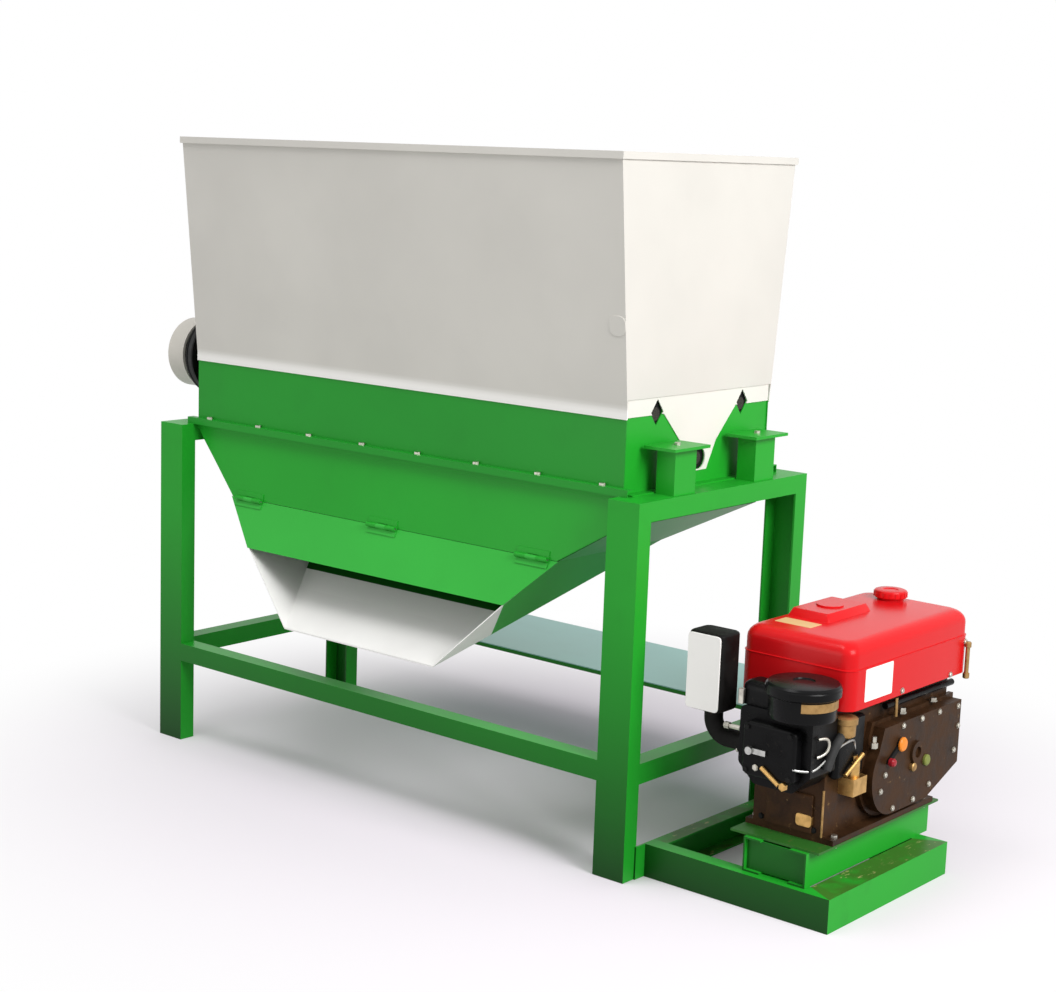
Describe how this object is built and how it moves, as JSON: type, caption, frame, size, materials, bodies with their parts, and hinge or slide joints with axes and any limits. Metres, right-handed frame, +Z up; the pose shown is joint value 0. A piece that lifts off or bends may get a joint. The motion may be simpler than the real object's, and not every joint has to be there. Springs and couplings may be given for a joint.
{
  "type": "cassava peeling machine",
  "caption": "Cassava peeler with hopper, abrasive roller bed, collecting funnel with flap and chute on a channel frame, and a diesel engine on its own base.",
  "frame": {"origin": "on the floor under the middle of the whole machine", "axes": "+X along the machine towards the engine, -Y the front with the chute, +Z up"},
  "size_m": [2.491, 1.185, 1.87],
  "materials": {
    "bearing_iron": "painted casting",
    "belt_rubber": "matt",
    "bright_steel": "turned",
    "cap_metal": "plated",
    "chute_white": "satin enamel",
    "drum_white": "satin enamel",
    "engine_black": "painted casting",
    "engine_iron": "painted casting",
    "filter_black": "gloss enamel",
    "frame_green": "satin enamel",
    "hood_red": "gloss enamel",
    "hopper_cream": "satin enamel",
    "lever_red": "gloss enamel",
    "muffler_black": "heat proof matt",
    "plate_olive": "satin enamel",
    "pump_brass": "cast",
    "roller_grit": "abrasive coat",
    "tray_teal": "satin enamel",
    "wheel_black": "painted casting",
    "zinc_bolt": "zinc plated"
  },
  "bodies": {
    "machine": {"air_cleaner": "filter_black", "base_cross_rails": "frame_green", "bearing_stands": "frame_green", "casing_end_left": "frame_green", "casing_end_right": "frame_green", "casing_front": "frame_green", "casing_rear": "frame_green", "chute_cheeks": "chute_white", "chute_floor": "chute_white", "crankcase": "engine_iron", "cylinder_head": "engine_black", "end_beam_left": "frame_green", "end_beam_right": "frame_green", "engine_base_rails": "frame_green", "engine_plate": "plate_olive", "engine_risers": "frame_green", "exhaust_elbow": "muffler_black", "fuel_hood": "hood_red", "funnel_end_left": "frame_green", "funnel_end_right": "frame_green", "funnel_front": "frame_green", "funnel_slide": "frame_green", "gear_cover": "engine_iron", "hinge_leaves_fixed": "frame_green", "hinge_pins": "bright_steel", "hood_hatch": "hood_red", "hopper_aprons": "hopper_cream", "hopper_end_left": "hopper_cream", "hopper_end_right": "hopper_cream", "hopper_front": "hopper_cream", "hopper_rear": "hopper_cream", "hopper_rim": "hopper_cream", "injection_pump": "pump_brass", "leg_front_left": "frame_green", "leg_front_right": "frame_green", "leg_rear_left": "frame_green", "leg_rear_right": "frame_green", "lower_rail_front": "frame_green", "lower_rails_end": "frame_green", "machine_bolts": "zinc_bolt", "muffler": "muffler_black", "rear_tray": "tray_teal", "rocker_cover": "engine_black", "roller_bearings": "bearing_iron", "roller_belt": "belt_rubber", "tray_bar": "frame_green"},
    "front_drive": {"front_roller": "roller_grit", "front_wheel": "wheel_black", "drive_drum": "drum_white"},
    "low_drive": {"low_roller": "roller_grit", "low_wheel": "wheel_black"},
    "rear_drive": {"rear_roller": "roller_grit", "rear_wheel": "wheel_black"},
    "flap": {"access_flap": "frame_green", "hinge_leaves_moving": "frame_green"},
    "crank": {"crankshaft": "bright_steel", "flywheel": "engine_black"},
    "cap": {"fuel_cap": "cap_metal"},
    "speed_control": {"speed_lever": "lever_red"},
    "decompressor": {"decompression_lever": "bright_steel"}
  },
  "joints": [
    {"name": "front_roller_spin", "type": "hinge", "parent": "machine", "child": "front_drive", "pos_m": [-0.2455, -0.33748, 1.201], "axis": [1, 0, 0], "continuous": true},
    {"name": "low_roller_spin", "type": "hinge", "parent": "machine", "child": "low_drive", "pos_m": [-0.2455, -0.1425, 1.06799], "axis": [1, 0, 0], "continuous": true},
    {"name": "rear_roller_spin", "type": "hinge", "parent": "machine", "child": "rear_drive", "pos_m": [-0.2455, 0.05248, 1.201], "axis": [1, 0, 0], "continuous": true},
    {"name": "flap_hinge", "type": "hinge", "parent": "machine", "child": "flap", "pos_m": [-0.2455, -0.5027, 0.802], "axis": [-1, 0, 0], "range_deg": [0, 75]},
    {"name": "crank_spin", "type": "hinge", "parent": "machine", "child": "crank", "pos_m": [0.9005, 0.0225, 0.355], "axis": [1, 0, 0], "continuous": true},
    {"name": "fuel_cap_turn", "type": "hinge", "parent": "machine", "child": "cap", "pos_m": [0.9925, 0.2065, 0.7], "axis": [0, 0, 1], "range_deg": [0, 90]},
    {"name": "speed_lever_swing", "type": "hinge", "parent": "machine", "child": "speed_control", "pos_m": [1.1998, -0.0655, 0.395], "axis": [1, 0, 0], "range_deg": [-15, 25]},
    {"name": "decompression_lever_lift", "type": "hinge", "parent": "machine", "child": "decompressor", "pos_m": [1.0245, -0.4928, 0.43], "axis": [0, -1, 0], "range_deg": [0, 60]}
  ],
  "couplings": [
    {"joint": "rear_roller_spin", "follows": "front_roller_spin", "ratio": 1},
    {"joint": "low_roller_spin", "follows": "front_roller_spin", "ratio": 2.6892}
  ]
}
